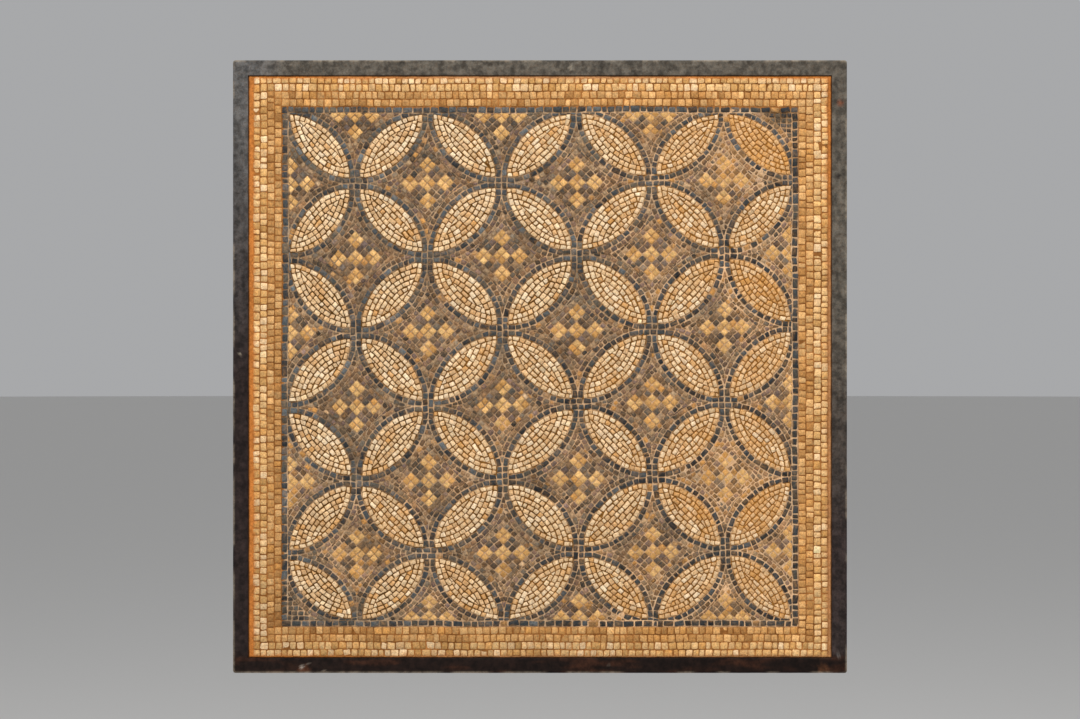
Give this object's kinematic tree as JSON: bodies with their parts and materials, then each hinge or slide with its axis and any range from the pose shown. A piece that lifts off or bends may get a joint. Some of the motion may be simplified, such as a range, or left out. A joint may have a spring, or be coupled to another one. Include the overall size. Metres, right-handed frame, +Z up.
{
  "type": "mosaic panel",
  "caption": "Square stone mosaic of interlaced circles with a plain border, set in a mortar slab and framed in steel angle, to be fixed upright to a wall.",
  "frame": {"origin": "centre of the back face, which lies against the wall", "axes": "+Y through the panel towards the wall, -Y out of the mosaic's face, +Z up, +X to the right of someone facing the mosaic"},
  "size_m": [1, 0.04, 0.998],
  "materials": {
    "painted_steel": "worn dark paint, semi-matt, dusty along the top",
    "mortar": "ochre-stained mortar, matt",
    "cream_stone": "worn and pitted tesserae, matt",
    "tan_stone": "worn and pitted tesserae, matt",
    "dark_stone": "worn tesserae, matt, ochre-stained in places"
  },
  "bodies": {
    "root": {"frame": "painted_steel", "mortar_bed": "mortar", "dark_ground": "dark_stone", "cream_row_outer": "cream_stone", "cream_row_inner": "cream_stone", "tan_row_outer": "tan_stone", "tan_row_inner": "tan_stone", "petal_r1_c1": "cream_stone", "petal_r1_c2": "cream_stone", "petal_r1_c3": "cream_stone", "petal_r1_c4": "cream_stone", "petal_r1_c5": "cream_stone", "petal_r1_c6": "cream_stone", "petal_r1_c7": "cream_stone", "petal_r2_c1": "cream_stone", "petal_r2_c2": "cream_stone", "petal_r2_c3": "cream_stone", "petal_r2_c4": "cream_stone", "petal_r2_c5": "cream_stone", "petal_r2_c6": "cream_stone", "petal_r2_c7": "cream_stone", "petal_r3_c1": "cream_stone", "petal_r3_c2": "cream_stone", "petal_r3_c3": "cream_stone", "petal_r3_c4": "cream_stone", "petal_r3_c5": "cream_stone", "petal_r3_c6": "cream_stone", "petal_r3_c7": "cream_stone", "petal_r4_c1": "cream_stone", "petal_r4_c2": "cream_stone", "petal_r4_c3": "cream_stone", "petal_r4_c4": "cream_stone", "petal_r4_c5": "cream_stone", "petal_r4_c6": "cream_stone", "petal_r4_c7": "cream_stone", "petal_r5_c1": "cream_stone", "petal_r5_c2": "cream_stone", "petal_r5_c3": "cream_stone", "petal_r5_c4": "cream_stone", "petal_r5_c5": "cream_stone", "petal_r5_c6": "cream_stone", "petal_r5_c7": "cream_stone", "petal_r6_c1": "cream_stone", "petal_r6_c2": "cream_stone", "petal_r6_c3": "cream_stone", "petal_r6_c4": "cream_stone", "petal_r6_c5": "cream_stone", "petal_r6_c6": "cream_stone", "petal_r6_c7": "cream_stone", "petal_r7_c1": "cream_stone", "petal_r7_c2": "cream_stone", "petal_r7_c3": "cream_stone", "petal_r7_c4": "cream_stone", "petal_r7_c5": "cream_stone", "petal_r7_c6": "cream_stone", "petal_r7_c7": "cream_stone"}
  },
  "joints": []
}
